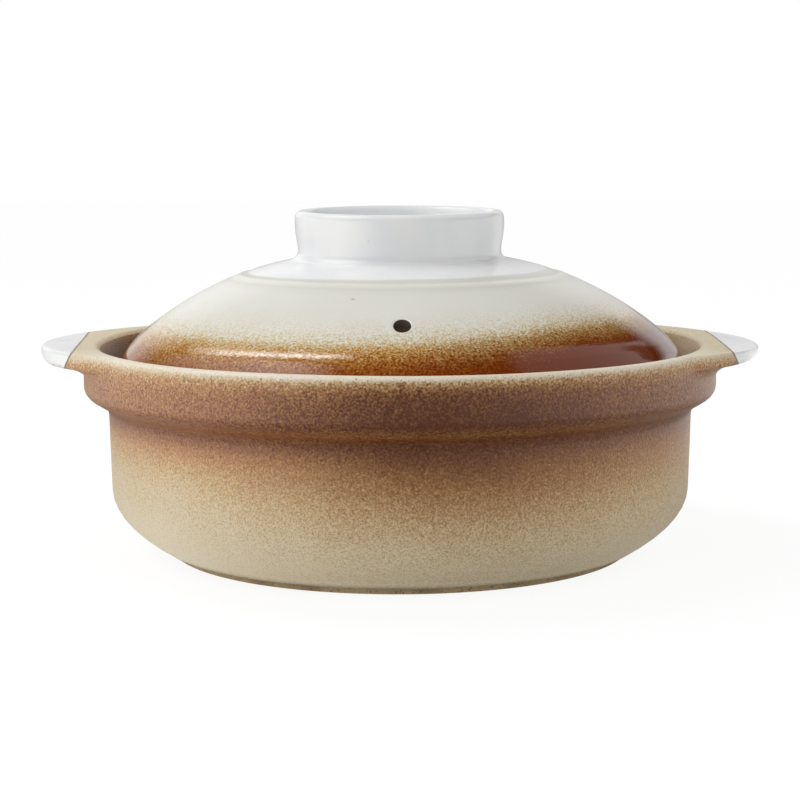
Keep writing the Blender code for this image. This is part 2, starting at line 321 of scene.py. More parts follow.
at_front = by_height(
    [(4.0, 0.08), (14.9, 0.12), (22.3, 0.20), (29.7, 0.32), (37.0, 0.47), (44.3, 0.66), (50.9, 0.81)]
    + [(56.7, 0.92), (59.6, 0.95), (62.2, 0.94), (64.3, 0.80), (66.0, 0.88), (68.5, 0.99), (77.6, 0.93)]
    + [(79.8, 0.87), (81.9, 0.77), (83.6, 0.50), (85.3, 0.15), (POT_TOP, 0.06)]
)
at_sides = by_height(
    [(4.0, 0.0), (22.3, 0.0), (29.7, 0.05), (37.0, 0.10), (44.3, 0.20), (50.9, 0.37), (53.8, 0.51)]
    + [(56.7, 0.73), (59.6, 0.85), (62.6, 0.83), (64.3, 0.80), (66.6, 0.87), (69.1, 0.75), (73.4, 0.71)]
    + [(77.6, 0.66), (79.8, 0.57), (81.9, 0.44), (83.6, 0.22), (85.3, 0.12), (POT_TOP, 0.06)]
)
facing = steps_of(
    pot_spray,
    round_pot,
    [(0.0, 0.35), (0.13, 0.10), (0.25, 0.0), (0.375, 0.0), (0.408, 0.22), (0.43, 0.32), (0.453, 0.48)]
    + [(0.476, 0.74), (0.50, 0.95), (0.525, 1.0), (0.555, 1.0), (0.583, 0.80), (0.611, 0.65), (0.64, 0.50)]
    + [(0.67, 0.42), (1.0, 0.35)],
)
cover = blend_value(pot_spray, facing, at_sides, at_front)
# The lugs shaded the band on either side of them from the gun.
thin = steps_of(
    pot_spray,
    round_pot,
    [(0.0, 1.0), (0.20, 0.86), (0.30, 0.86), (0.36, 0.93), (0.44, 1.0)]
    + [(0.62, 1.0), (0.66, 0.97), (0.70, 0.88), (0.80, 0.88), (1.0, 1.0)],
)
cover = product(pot_spray, cover, blend_value(pot_spray, fade(pot_spray, height, 0.71, 0.77), 1.0, thin))
# The drops ran together on the wall, and stand apart most at the rim.
apart = steps_of(pot_spray, height, [(0.0, 0.16), (0.60, 0.17), (0.72, 0.26), (0.86, 0.32), (1.0, 0.34)])
spray = place(pot_spray, specks, {"Cover": cover, "Contrast": apart})
tone, grain = spray.outputs["Tone"], spray.outputs["Grain"]
front_colour = fired(
    pot_spray,
    tone,
    [(0.0, 214, 201, 172), (0.14, 205, 188, 153), (0.30, 194, 166, 125), (0.48, 174, 135, 89)]
    + [(0.66, 152, 106, 58), (0.80, 131, 84, 42), (0.92, 108, 62, 30), (1.0, 92, 48, 22)],
)
# Where it is thinner, round the sides, it fired to a more golden colour.
side_colour = fired(
    pot_spray,
    tone,
    [(0.0, 217, 203, 174), (0.14, 212, 189, 149), (0.30, 200, 161, 112), (0.48, 183, 131, 81)]
    + [(0.66, 162, 108, 61), (0.80, 140, 84, 43), (1.0, 98, 50, 24)],
)
glaze = blend_colour(pot_spray, facing, side_colour, front_colour)
# Sand in the clay shows through as fine dark and light grains, most of all where the spray is thin.
sand = noise(pot_spray, at, 0.00056, 0.4)
shown = [(0.0, 0.22), (0.10, 0.36), (0.35, 0.44), (0.60, 0.34), (0.80, 0.12), (1.0, 0.0)]
shown = steps_of(pot_spray, tone, shown)
dark_grains = product(pot_spray, fade(pot_spray, sand, 0.50, 0.68), shown)
glaze = blend_colour(pot_spray, dark_grains, glaze, colour(112, 88, 54))
light_grains = product(pot_spray, fade(pot_spray, sand, 0.44, 0.26), shown, 0.55)
glaze = blend_colour(pot_spray, light_grains, glaze, colour(230, 208, 168))
# On the rim the glaze ran off and is thin and pale, palest on either side of the front; part of this paleness
# is painted highlight, the sheen along the rim's rounded edge.
rim_pale_and_highlight_share = steps_of(
    pot_spray,
    round_pot,
    [(0.0, 0.7), (0.20, 0.15), (0.29, 0.15), (0.34, 0.95), (0.44, 1.0), (0.47, 0.9), (0.50, 0.8), (0.54, 0.6)]
    + [(0.59, 0.7), (0.64, 0.9), (0.68, 0.6), (0.71, 0.15), (0.80, 0.15), (1.0, 0.7)],
)
broken = maths(pot_spray, "MULTIPLY_ADD", maths(pot_spray, "SUBTRACT", grain, 1.2), 0.045, height)
pale_glaze_and_highlight = product(pot_spray, fade(pot_spray, broken, 0.962, 0.998), rim_pale_and_highlight_share, fade(pot_spray, tone, 0.5, 0.1))
glaze = blend_colour(pot_spray, pale_glaze_and_highlight, glaze, colour(240, 230, 210))
roughness = blend_value(pot_spray, tone, 0.50, 0.40)
feed(pot_spray, outlet, {"Color": glaze, "Roughness": roughness, "Grain": grain})


def finish_of(name):
    """A new material, its node tree and its Principled shader."""
    material = bpy.data.materials.new(name)
    material.use_nodes = True
    return material, material.node_tree, material.node_tree.nodes["Principled BSDF"]


def relief(tree, shader, value, depth):
    """Raise the surface by up to depth metres where value is 1."""
    bump = add(tree, "Bump", {"Height": value, "Distance": depth, "Strength": 1.0})
    feed(tree, shader, {"Normal": bump.outputs[0]})


sprayed_glaze, tree, shader = finish_of("sprayed_rust_glaze")
coat = place(tree, pot_spray)
feed(tree, shader, {"Base Color": coat.outputs["Color"], "Roughness": coat.outputs["Roughness"]})
relief(tree, shader, coat.outputs["Grain"], 0.00009)

# Inside, a tan glaze, painted darker from the ledge up to the rim: partly a thicker glaze, partly painted
# shade where the lid shades the wall.
inner_glaze, tree, shader = finish_of("inner_tan_glaze")
at = coords(tree)
height = product(tree, height_of(tree, at), 1 / (POT_TOP * MM))
cover = [(0.0, 0.12), (0.80, 0.16), (0.87, 0.90), (0.92, 0.80), (0.965, 0.55), (1.0, 0.20)]
cover = steps_of(tree, height, cover)
# Painted shade and light round the inside: darker on the left wall, which faces away from the light, lighter
# on the right.
painted_shade_and_light_round = steps_of(
    tree, turn_of(tree, at), [(0.0, 0.8), (0.30, 1.12), (0.50, 0.8), (0.66, 0.42), (0.78, 0.55), (1.0, 0.8)]
)
coat = place(tree, specks, {"Cover": product(tree, cover, painted_shade_and_light_round), "Contrast": 0.22})
tan = [(0.0, 196, 178, 146), (0.25, 176, 152, 118), (0.55, 136, 106, 74), (1.0, 96, 66, 42)]
roughness = blend_value(tree, coat.outputs["Tone"], 0.24, 0.34)
feed(tree, shader, {"Base Color": fired(tree, coat.outputs["Tone"], tan), "Roughness": roughness})
feed(tree, shader, {"Specular IOR Level": 0.04})
relief(tree, shader, coat.outputs["Grain"], 0.00002)

bare_clay, tree, shader = finish_of("bare_clay")
at = coords(tree)
grog = noise(tree, at, 0.0009, 3.0)
stain = noise(tree, at, 0.012, 3.0)
clay = blend_colour(tree, fade(tree, stain, 0.35, 0.7), colour(172, 152, 116), colour(146, 125, 92))
clay = blend_colour(tree, fade(tree, grog, 0.56, 0.68), clay, colour(122, 100, 72))
feed(tree, shader, {"Base Color": clay, "Roughness": blend_value(tree, grog, 0.75, 0.95)})
relief(tree, shader, grog, 0.00010)

for coat in (sprayed_glaze, inner_glaze, bare_clay):
    pot.data.materials.append(coat)
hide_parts("pot_body")
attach(pot, "pot")


# The lug handles
# Solid crescents of the same clay, luted to the band and smoothed into the rim, so that their tops
# run on from it. The tips are dipped in white glaze, which leaves a thin dark line at its edge.

CREST_RADIUS = 126.9
LUG_REACH = 17.8
LUG_HALF_ANGLE = 30.0
LUG_ROOT_ANGLE = LUG_HALF_ANGLE + 0.6
LUG_FULLNESS = 1.2
LUG_SECTIONS = 120
LUG_OVERLAP = 0.02


def lug_section(reach, drop, deeper):
    """Outline of a lug that stands out by reach, down from the rim's crest; at 0 it is the band's own."""
    share = reach / LUG_REACH
    nose, crown = 2.5 + 0.1 * share, 2.5 - 0.7 * share
    edge = BAND_RADIUS + reach - nose
    top = POT_TOP - drop * share
    low = 3.5 + deeper * share
    points = []
    for step in range(12):
        t = step / 12
        out = CREST_RADIUS + (edge - CREST_RADIUS) * t
        points.append((out, POT_TOP - drop * share * t * t * (3 - 2 * t)))
    points += bend((edge, top), (edge + nose, top), (edge + nose, top - crown), 9)
    for step in range(1, 8):
        angle = math.pi / 2 * step / 8
        out = BAND_RADIUS + reach * (0.8 + 0.2 * math.cos(angle))
        points.append((out, top - crown - low * math.sin(angle)))
    for share_out, down in bend((0.8, low), (0.10, low + 1.2), (0.0, max(9.2, low + 4.2)), 14):
        points.append((BAND_RADIUS + reach * share_out, top - crown - down))
    return points


def make_lug(name, middle, drop, deeper):
    """A lug round the middle angle, its edge lying a hair over the band and its back inside it."""
    solid = bmesh.new()
    rings = []
    for number in range(LUG_SECTIONS + 1):
        across = 2 * number / LUG_SECTIONS - 1
        angle = middle + math.radians(LUG_ROOT_ANGLE) * across
        inside = min(1.0, abs(across) * LUG_ROOT_ANGLE / LUG_HALF_ANGLE)
        section = lug_section(LUG_REACH * (1 - inside**2) ** LUG_FULLNESS, drop, deeper)
        ring = []
        for radius, height in section:
            out, up = hand_made(radius, height, angle)
            out += LUG_OVERLAP if radius > CREST_RADIUS + 1 else 0
            ring.append(solid.verts.new(at_angle(out, up + LUG_OVERLAP, angle)))
        for radius, height in ((BAND_RADIUS - 1.5, section[-1][1]), (CREST_RADIUS, POT_TOP - 2.5)):
            ring.append(solid.verts.new(at_angle(radius, height, angle)))
        rings.append(ring)
    count = len(rings[0])
    for before, after in zip(rings, rings[1:]):
        for i in range(count):
            j = (i + 1) % count
            solid.faces.new((before[i], before[j], after[j], after[i]))
    solid.faces.new(rings[0][::-1])
    solid.faces.new(rings[-1])
    return finish_mesh(solid, name, sharp=50)


# White glaze, a little uneven in thickness, over whatever lies under it.
white_glaze, inlet, outlet = effect(
    "white_glaze", [], [("Color", "Color"), ("Roughness", "Float"), ("Thickness", "Float")]
)
at = coords(white_glaze)
flow = noise(white_glaze, at, 0.018)
thicker = fade(white_glaze, flow, 0.3, 0.7)
white = blend_colour(white_glaze, thicker, colour(232, 234, 236), colour(240, 240, 238))
pinholes = fade(white_glaze, noise(white_glaze, at, 0.0035, 1.0), 0.80, 0.86)
white = blend_colour(white_glaze, product(white_glaze, pinholes, 0.35), white, colour(190, 180, 162))
roughness = blend_value(white_glaze, flow, 0.14, 0.22)
feed(white_glaze, outlet, {"Color": white, "Roughness": roughness, "Thickness": flow})

# Where a piece was dipped in it. Depth is the distance in metres past the edge of the dip.
dip, inlet, outlet = effect(
    "white_dip",
    [
        ("Depth", "Float", 0.0),
        ("Under Color", "Color", (1, 1, 1, 1)),
        ("Under Roughness", "Float", 0.5),
        ("Line", "Float", 0.7),
        ("Waver", "Float", 0.0008),
    ],
    [("Color", "Color"), ("Roughness", "Float"), ("Thickness", "Float"), ("White", "Float")],
)
waver = maths(dip, "SUBTRACT", noise(dip, coords(dip), 0.011), 0.5)
depth = maths(dip, "MULTIPLY_ADD", waver, inlet.outputs["Waver"], inlet.outputs["Depth"])
inside = fade(dip, depth, -0.00006, 0.00010)
top_coat = place(dip, white_glaze)
line = fade(dip, maths(dip, "ABSOLUTE", maths(dip, "ADD", depth, 0.00026)), 0.00052, 0.00022)
line = product(dip, line, inlet.outputs["Line"])
dipped = blend_colour(dip, inside, inlet.outputs["Under Color"], top_coat.outputs["Color"])
dipped = blend_colour(dip, line, dipped, colour(108, 88, 62))
roughness = blend_value(dip, inside, inlet.outputs["Under Roughness"], top_coat.outputs["Roughness"])
thickness = fade(dip, depth, -0.0001, 0.0005)
feed(dip, outlet, {"Color": dipped, "Roughness": roughness, "Thickness": thickness, "White": inside})


def plane_depth(tree, normal, point):
    """Distance in metres past a plane through point in mm; normal points into the dipped side."""
    normal = Vector(normal).normalized()
    along = add(tree, "VectorMath", {0: coords(tree), 1: tuple(normal)}, operation="DOT_PRODUCT")
    return maths(tree, "SUBTRACT", along.outputs["Value"], normal.dot(Vector(point)) * MM)


def lug_finish(name, normal, point):
    """The pot's spray with the white tip over it, and flecks of rust under the white along its lower edge."""
    material, tree, shader = finish_of(name)
    coat = place(tree, pot_spray)
    grain = coat.outputs["Grain"]
    depth = plane_depth(tree, normal, point)
    under = {"Under Color": coat.outputs["Color"], "Under Roughness": coat.outputs["Roughness"]}
    tip = place(tree, dip, {"Depth": depth, "Line": 0.75, **under})
    white = tip.outputs["White"]
    at = coords(tree)
    low = product(tree, fade(tree, height_of(tree, at), 0.0818, 0.0795), fade(tree, depth, 0.014, 0.002))
    flecks = product(tree, fade(tree, noise(tree, at, 0.0011, 1.0), 0.48, 0.57), low, white, 0.8)
    tip_colour = blend_colour(tree, flecks, tip.outputs["Color"], colour(150, 108, 66))
    feed(tree, shader, {"Base Color": tip_colour, "Roughness": tip.outputs["Roughness"]})
    sandy = product(tree, grain, maths(tree, "SUBTRACT", 1.0, white))
    relief(tree, shader, maths(tree, "MULTIPLY_ADD", tip.outputs["Thickness"], 3.0, sandy), 0.00005)
    return material


# Made by hand, the left one came out a little thicker than the right.
right_lug = make_lug("right_lug", 0.0, 1.0, 0.0)
right_lug.data.materials.append(lug_finish("right_tip_dip", (1.0, -0.02, 0.5), (132.5, 0.0, 85.5)))
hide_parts("right_handle")
left_lug = make_lug("left_lug", math.pi, 0.2, 1.8)
left_lug.data.materials.append(lug_finish("left_tip_dip", (-1.0, -0.0657, 0.5), (-134.9, 27.6, 84.8)))
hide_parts("left_handle")
for lug in (left_lug, right_lug):
    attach(lug, "pot")


# The lid
# A turned dome with a steeper skirt at its edge and one upright steam hole near the front. Grey cream
# glaze covers it inside and out, with glossy rust sprayed round the skirt and white dipped at the crown.

LID_CROWN = 123.2
SHOULDER_RADIUS, SHOULDER_HEIGHT = 108.5, 89.55
DOME_FULLNESS = 2.66
DOME_RISE = LID_CROWN - SHOULDER_HEIGHT
DOME_EDGE, HOLLOW_EDGE = 103.3, 100.5
# Faint rings left by the thrower's fingers round the crown: (rise, radius, width).
THROWING_RINGS = ((0.28, 67.5, 2.4), (-0.24, 63.9, 1.6), (0.15, 73.0, 2.0))
LID_WALL = 6.0
LID_RADIUS, LID_BOTTOM = 116.4, 75.4
LID_ASIDE = 0.9
LID_SEGMENTS, LID_SPACING = 384, 1.5
HOLE_DISTANCE, HOLE_RADIUS = 92.5, 3.2
HOLE_WINDOW = 4
GLAZED, REST, BORE = 0, 1, 2


def dome_height(radius):
    """Height of the dome's outside, with its throwing rings."""
    height = LID_CROWN - DOME_RISE * (radius / SHOULDER_RADIUS) ** DOME_FULLNESS
    for rise, middle, width in THROWING_RINGS:
        height += rise * math.exp(-(((radius - middle) / width) ** 2))
    return height


def hollow_height(radius):
    """Height of the dome's inside, a wall's thickness below."""
    share = radius / SHOULDER_RADIUS
    slope = DOME_RISE * DOME_FULLNESS / SHOULDER_RADIUS * share ** (DOME_FULLNESS - 1)
    return LID_CROWN - DOME_RISE * share**DOME_FULLNESS - LID_WALL * math.hypot(1.0, slope)


def thrown_lid(radius, height, angle):
    """The lid is nearly true; its shoulder is a touch uneven."""
    share = min(1.0, radius / 60.0) * max(0.0, min(1.0, (height - 92.0) / 8.0))
    return radius, height + 0.06 * math.sin(2 * angle + 1.1) * share


# The dome's rings of vertices are spaced so that the same number lies before and behind the steam hole.
first_ring = HOLE_DISTANCE - LID_SPACING * round(HOLE_DISTANCE / LID_SPACING - 1)
dome_radii = [0.0] + [first_ring + LID_SPACING * step for step in range(71)]
outer = [(radius, dome_height(radius), GLAZED) for radius in dome_radii if radius < DOME_EDGE]
skirt_corners = outline_through(
    [
        (*outer[-1][:2], 0, 0, GLAZED),
        (104.2, 92.98, 0.5, 0.5, GLAZED),
        (106.9, 90.82, 1.9, 1.8, GLAZED),
        (109.4, 88.58, 0.6, 0.8, GLAZED),
        (113.6, 84.0, 1.6, 1.2, GLAZED),
        (115.0, 81.9, 1.2, 1.1, GLAZED),
        (115.95, 79.7, 1.1, 0.9, GLAZED),
        (LID_RADIUS, 77.8, 0.9, 0.9, GLAZED),
        (LID_RADIUS, LID_BOTTOM, 1.3, 1.3, REST),
        (109.6, LID_BOTTOM, 1.0, 1.0, GLAZED),
        (105.0, 84.3, 2.5, 2.5, GLAZED),
        (101.2, hollow_height(101.2), 0, 0, GLAZED),
    ],
    longest=LID_SPACING,
)
inner = [(radius, hollow_height(radius), GLAZED) for radius in dome_radii if radius < HOLLOW_EDGE][::-1]
lid_outline = outer + skirt_corners[1:] + inner

lid_solid = bmesh.new()
lid_rings = turned_rings(lid_solid, lid_outline, LID_SEGMENTS, thrown_lid)


def open_window(rings, outline, wanted):
    """Take out the faces round the steam hole on one side of the wall, and return the edge of the gap."""
    near = min(wanted, key=lambda number: abs(outline[number][0] - HOLE_DISTANCE))
    low, high = near - HOLE_WINDOW, near + HOLE_WINDOW
    front = round(LID_SEGMENTS * 0.75)
    left, right = front - HOLE_WINDOW, front + HOLE_WINDOW
    gone = [rings[number][step] for number in range(low + 1, high) for step in range(left + 1, right)]
    edge = [rings[low][step] for step in range(left, right)]
    edge += [rings[number][right] for number in range(low, high)]
    edge += [rings[high][step] for step in range(right, left, -1)]
    edge += [rings[number][left] for number in range(high, low, -1)]
    bmesh.ops.delete(lid_solid, geom=gone, context="VERTS")
    return edge


def hole_ring(edge, radius, height):
    """A ring of the steam hole, its vertices in line with those of the gap's edge."""
    ring = []
    for vertex in edge:
        turn = math.atan2(vertex.co.y + HOLE_DISTANCE * MM, vertex.co.x)
        x, y = radius * math.cos(turn), radius * math.sin(turn) - HOLE_DISTANCE
        ring.append(lid_solid.verts.new((x * MM, y * MM, height(math.hypot(x, y)) * MM)))
    return ring


def join_rings(one, other, coat=GLAZED):
    for i in range(len(one)):
        j = (i + 1) % len(one)
        lid_solid.faces.new((one[i], one[j], other[j], other[i])).material_index = coat


outer_edge = open_window(lid_rings, lid_outline, range(len(outer)))
inner_edge = open_window(lid_rings, lid_outline, range(len(lid_outline) - len(inner), len(lid_outline)))
# The inner edge runs the other way round when its first vertex lies across from the outer one's.
first, across = inner_edge[0].co, inner_edge[len(inner_edge) // 2].co
if (first - outer_edge[0].co).length > (across - outer_edge[0].co).length:
    inner_edge = inner_edge[::-1]
# The worn lip of the hole, as (radius, height over the dome), is the same on both sides of the wall.
lip = [(4.6, 0.0), (4.1, 0.08), (3.65, 0.04), (3.35, -0.22), (HOLE_RADIUS, -0.65)]
rings_down = [outer_edge]
rings_down += [hole_ring(outer_edge, out, lambda r, up=up: dome_height(r) + up) for out, up in lip]
rings_down.append(hole_ring(outer_edge, HOLE_RADIUS, lambda r: (dome_height(r) + hollow_height(r)) / 2))
rings_down += [hole_ring(outer_edge, out, lambda r, up=up: hollow_height(r) - up) for out, up in lip[::-1]]
for number, (one, other) in enumerate(zip(rings_down, rings_down[1:])):
    join_rings(one, other, BORE if 4 <= number <= 8 else GLAZED)
last_ring = rings_down[-1]
nearest = [min(last_ring, key=lambda vertex: (vertex.co.xy - corner.co.xy).length) for corner in inner_edge]
start = last_ring.index(nearest[0])
way = 1 if nearest[1] is last_ring[(start + 1) % len(last_ring)] else -1
join_rings(inner_edge, [last_ring[(start + way * step) % len(last_ring)] for step in range(len(last_ring))])
lid = finish_mesh(lid_solid, "glazed_lid")
lid.data.transform(Matrix.Translation((LID_ASIDE * MM, 0.0, 0.0)))

# The ramps of the lid's glaze run from its axis to this far out.
GLAZE_REACH = 125.0


def by_distance(tree, distance, points):
    """A ramp over a distance from the axis, from points of (distance in mm, value)."""
    share = product(tree, distance, 1 / (GLAZE_REACH * MM))
    return steps_of(tree, share, [(out / GLAZE_REACH, value) for out, value in points])


lid_glaze, tree, shader = finish_of("cream_lid_glaze")
at = coords(tree)
level = add(tree, "VectorMath", {0: at, 1: (1.0, 1.0, 0.0)}, operation="MULTIPLY").outputs[0]
radius = add(tree, "VectorMath", {0: level}, operation="LENGTH").outputs["Value"]
round_lid = turn_of(tree, at)
# The rust was sprayed by hand: on the right it reaches up to 6.2 mm further in and lies thicker.
further = steps_of(
    tree,
    round_lid,
    [(0.0, 0.3), (0.25, 0.0), (0.475, 0.0), (0.50, 0.10), (0.521, 0.20), (0.538, 0.37), (0.556, 0.55)]
    + [(0.581, 0.79), (0.603, 0.94), (0.628, 0.98), (0.75, 1.0), (1.0, 0.3)],
)
distance = maths(tree, "MULTIPLY_ADD", further, 6.2 * MM, radius)
cover = by_distance(
    tree,
    distance,
    [(82.0, 0.0), (90.0, 0.03), (95.0, 0.07), (98.5, 0.14), (100.3, 0.20), (102.3, 0.31), (103.5, 0.42)]
    + [(105.4, 0.56), (107.0, 0.63), (108.7, 0.71), (110.0, 0.78), (111.3, 0.83), (113.5, 0.88)]
    + [(GLAZE_REACH, 0.92)],
)
thickness = steps_of(
    tree,
    round_lid,
    [(0.0, 0.80), (0.25, 0.74), (0.42, 0.76), (0.47, 0.83), (0.50, 0.85), (0.525, 0.89), (0.60, 0.97)]
    + [(0.75, 0.99), (1.0, 0.80)],
)
cover = product(tree, cover, thickness, 1.2)
coat = place(tree, specks, {"Cover": cover, "Contrast": 0.30})
rusty = fired(
    tree,
    coat.outputs["Tone"],
    [(0.0, 229, 228, 219), (0.12, 221, 215, 196), (0.28, 209, 190, 150), (0.46, 194, 156, 98)]
    + [(0.64, 174, 122, 60), (0.82, 150, 84, 32), (1.0, 114, 48, 12)],
)
# Towards the right the thin spray is paler and less red.
browner = fired(
    tree,
    coat.outputs["Tone"],
    [(0.0, 229, 228, 219), (0.12, 223, 217, 201), (0.28, 211, 197, 166), (0.46, 191, 165, 122)]
    + [(0.64, 167, 134, 86), (0.82, 147, 98, 48), (1.0, 114, 48, 12)],
)
right_share = product(tree, fade(tree, round_lid, 0.49, 0.55), fade(tree, round_lid, 0.98, 0.82))
lid_colour = blend_colour(tree, product(tree, right_share, fade(tree, distance, 0.1145, 0.1115)), rusty, browner)
# The cream is painted a little darker in the grooves between the throwing rings: partly glaze pooled there,
# partly painted shade in the grooves.
groove_pool_and_shade = [(62.0, 0.0), (63.6, 0.30), (65.2, 0.30), (66.2, 0.0)]
groove_pool_and_shade += [(68.6, 0.0), (70.0, 0.22), (71.6, 0.12), (75.0, 0.0)]
lid_colour = blend_colour(tree, by_distance(tree, radius, groove_pool_and_shade), lid_colour, colour(176, 172, 152))
crown_dip = place(
    tree,
    dip,
    {
        "Depth": plane_depth(tree, (-0.0107, 0.0, 1.0), (0.0, 0.0, 115.6)),
        "Under Color": lid_colour,
        "Under Roughness": blend_value(tree, fade(tree, cover, 0.05, 0.45), 0.26, 0.045),
        "Line": 0.10,
        "Waver": 0.0002,
    },
)
# One speck of iron burnt through the glaze, left of the steam hole.
speck = add(tree, "VectorMath", {0: at, 1: (-0.0177, -0.0752, 0.1096)}, operation="DISTANCE").outputs["Value"]
speck = product(tree, fade(tree, speck, 0.0010, 0.0005), 0.4)
lid_colour = blend_colour(tree, speck, crown_dip.outputs["Color"], colour(110, 106, 98))
feed(tree, shader, {"Base Color": lid_colour, "Roughness": crown_dip.outputs["Roughness"]})
sandy = product(tree, coat.outputs["Grain"], 0.25)
relief(tree, shader, maths(tree, "MULTIPLY_ADD", crown_dip.outputs["Thickness"], 2.0, sandy), 0.00005)

# The steam hole shows the clay, painted dark near the top as the shade inside the hole, and paler further
# down.
bore_clay, tree, shader = finish_of("bore_clay_painted_shade")
at = coords(tree)
grit = noise(tree, at, 0.0008)
deep = fade(tree, height_of(tree, at), 0.1006, 0.0978)
bore = blend_colour(tree, deep, colour(74, 60, 40), colour(128, 116, 82))
bore = blend_colour(tree, product(tree, grit, 0.5), bore, colour(60, 46, 30))
feed(tree, shader, {"Base Color": bore, "Roughness": blend_value(tree, grit, 0.6, 0.8)})
relief(tree, shader, grit, 0.00008)

for coat in (lid_glaze, bare_clay, bore_clay):
    lid.data.materials.append(coat)
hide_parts("lid_dome")
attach(lid, "lid")


# The knob
# A hollow ring turned and luted to the crown, rounded at its lip and drawn in above its foot, which
# is smoothed out over the dome. It was dipped upside down in white glaze together with the crown.

KNOB_TOP = 140.4
KNOB_RADIUS, KNOB_OPENING = 43.1, 37.3
KNOB_SEGMENTS = 256

knob_outline = outline_through(
    [
        (KNOB_OPENING, 135.0, 0, 0, 0),
        (KNOB_OPENING + 0.2, KNOB_TOP, 5.2, 2.6, 0),
        (KNOB_RADIUS, KNOB_TOP, 2.7, 3.9, 0),
        (KNOB_RADIUS, 132.0, 3.5, 3.0, 0),
        (42.0, 125.6, 2.0, 1.6, 0),
        (41.7, dome_height(44.5) + 0.3, 3.4, 5.6, 0),
        (52.0, dome_height(52.0) - 0.25, 0, 0, 0),
        (50.0, dome_height(50.0) - 1.2, 0, 0, 0),
        (36.0, dome_height(36.0) - 1.2, 0, 0, 0),
        (35.2, dome_height(35.2) - 0.2, 0, 0, 0),
        (36.4, dome_height(36.4) + 0.3, 0.7, 1.5, 0),
    ],
    longest=1.2,
)


def uneven_lip(radius, height, angle):
    """The lip stands a little lower at the front."""
    return radius, height - 0.4 * (1 - math.sin(angle)) * max(0.0, min(1.0, (height - 128.0) / 10.0))


knob_solid = bmesh.new()
turned_rings(knob_solid, knob_outline, KNOB_SEGMENTS, uneven_lip, closed=True)
knob = finish_mesh(knob_solid, "white_knob", sharp=60)

knob_glaze, tree, shader = finish_of("white_knob_glaze")
coat = place(tree, white_glaze)
feed(tree, shader, {"Base Color": coat.outputs["Color"], "Roughness": coat.outputs["Roughness"]})
relief(tree, shader, coat.outputs["Thickness"], 0.00012)
knob.data.materials.append(knob_glaze)
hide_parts("lid_knob")
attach(knob, "lid")


# The studio
# A white sweep in soft light that is strongest from the left. A long softbox hangs high on the left,
# a card stands on the right, and the dark room behind the camera shows in the glazes.

# What comes from each direction: the light that falls on the pot, and the room mirrored in its glaze.
surround, inlet, outlet = effect(
    "studio_surround", [("Direction", "Vector", (0, 0, 0))], [("Light", "Float"), ("Mirrored", "Float")]
)
toward = add(surround, "VectorMath", {0: inlet.outputs[0]}, operation="NORMALIZE").outputs[0]
right, back, up = add(surround, "SeparateXYZ", {0: toward}).outputs[:3]
light = maths(surround, "MULTIPLY_ADD", right, -0.36, 0.66)
light = maths(surround, "MULTIPLY_ADD", back, -0.12, light)
light = maths(surround, "MULTIPLY_ADD", fade(surround, right, 0.4, 1.0), 0.36, light)
low_left = product(surround, fade(surround, right, -0.35, -1.0), fade(surround, up, 0.7, 0.1))
light = maths(surround, "MULTIPLY_ADD", low_left, 0.2, light)

# Low down, the room is bright on the left, less so on the right, and dark in front and behind.
turn = turn_of(surround, toward)
low = steps_of(
    surround,
    turn,
    [(0.0, 0.05), (0.083, 0.14), (0.139, 0.21), (0.19, 0.32), (0.225, 0.44), (0.264, 0.55), (0.297, 0.66)]
    + [(0.33, 0.76), (0.369, 0.60), (0.408, 0.36), (0.456, 0.10), (0.50, 0.03), (0.545, 0.08), (0.59, 0.18)]
    + [(0.63, 0.25), (0.67, 0.34), (0.714, 0.385), (0.753, 0.37), (0.783, 0.31), (0.83, 0.28), (0.87, 0.24)]
    + [(0.93, 0.18), (1.0, 0.05)],
)
low = product(surround, low, fade(surround, up, 0.34, 0.20), 4.0)
beside = steps_of(surround, turn, [(0.83, 0.0), (0.86, 0.45), (0.91, 0.45), (0.94, 0.0)])
beside = product(surround, beside, fade(surround, up, -0.08, -0.02))
low = product(surround, low, maths(surround, "ADD", beside, 1.0))

# The white sheet hangs at the back, its halves lit unevenly.
sheet_left = steps_of(
    surround,
    back,
    [(0.66, 0.0), (0.72, 0.25), (0.79, 0.42), (0.83, 0.62), (0.88, 0.62), (0.93, 0.76), (0.965, 0.60)]
    + [(1.0, 0.42)],
)
sheet_right = steps_of(surround, back, [(0.77, 0.0), (0.865, 0.90), (0.94, 0.84), (1.0, 0.66)])
on_right = maths(surround, "GREATER_THAN", right, 0.0)
sheet = blend_value(surround, on_right, product(surround, sheet_left, 1.4), sheet_right)
sheet = product(surround, sheet, maths(surround, "MULTIPLY_ADD", fade(surround, up, 0.0, 0.08), 0.6, 0.4))

# The strip light hangs in a slight arc; off is how far a direction lies behind it.
off = maths(surround, "SUBTRACT", back, 1.0605)
off = maths(surround, "MULTIPLY_ADD", product(surround, up, up), 0.5302, off)
off = maths(surround, "MULTIPLY_ADD", up, 0.4415, off)
strip = maths(surround, "MULTIPLY_ADD", off, 5.0, 0.5)
strip = steps_of(surround, strip, [(0.18, 0.0), (0.26, 0.95), (0.36, 1.0), (0.56, 0.0)])
along = steps_of(
    surround,
    up,
    [(0.56, 0.0), (0.63, 0.13), (0.70, 0.33), (0.80, 0.70), (0.90, 1.0), (0.957, 0.85), (0.975, 0.3)]
    + [(1.0, 0.05)],
)
strip = product(surround, strip, fade(surround, right, -0.13, -0.20), along, 12.0)

# The long softbox on the left ends just short of the strip light.
panel = steps_of(
    surround,
    up,
    [(0.34, 0.0), (0.50, 0.17), (0.64, 0.37), (0.766, 0.63), (0.848, 0.97), (0.899, 0.90), (0.927, 0.50)]
    + [(0.951, 0.20), (0.970, 0.03), (1.0, 0.0)],
)
sides = steps_of(surround, turn, [(0.10, 0.0), (0.14, 1.0), (0.31, 1.0), (0.34, 0.0)])
panel = product(surround, panel, sides, 3.0, fade(surround, off, -0.075, -0.12))

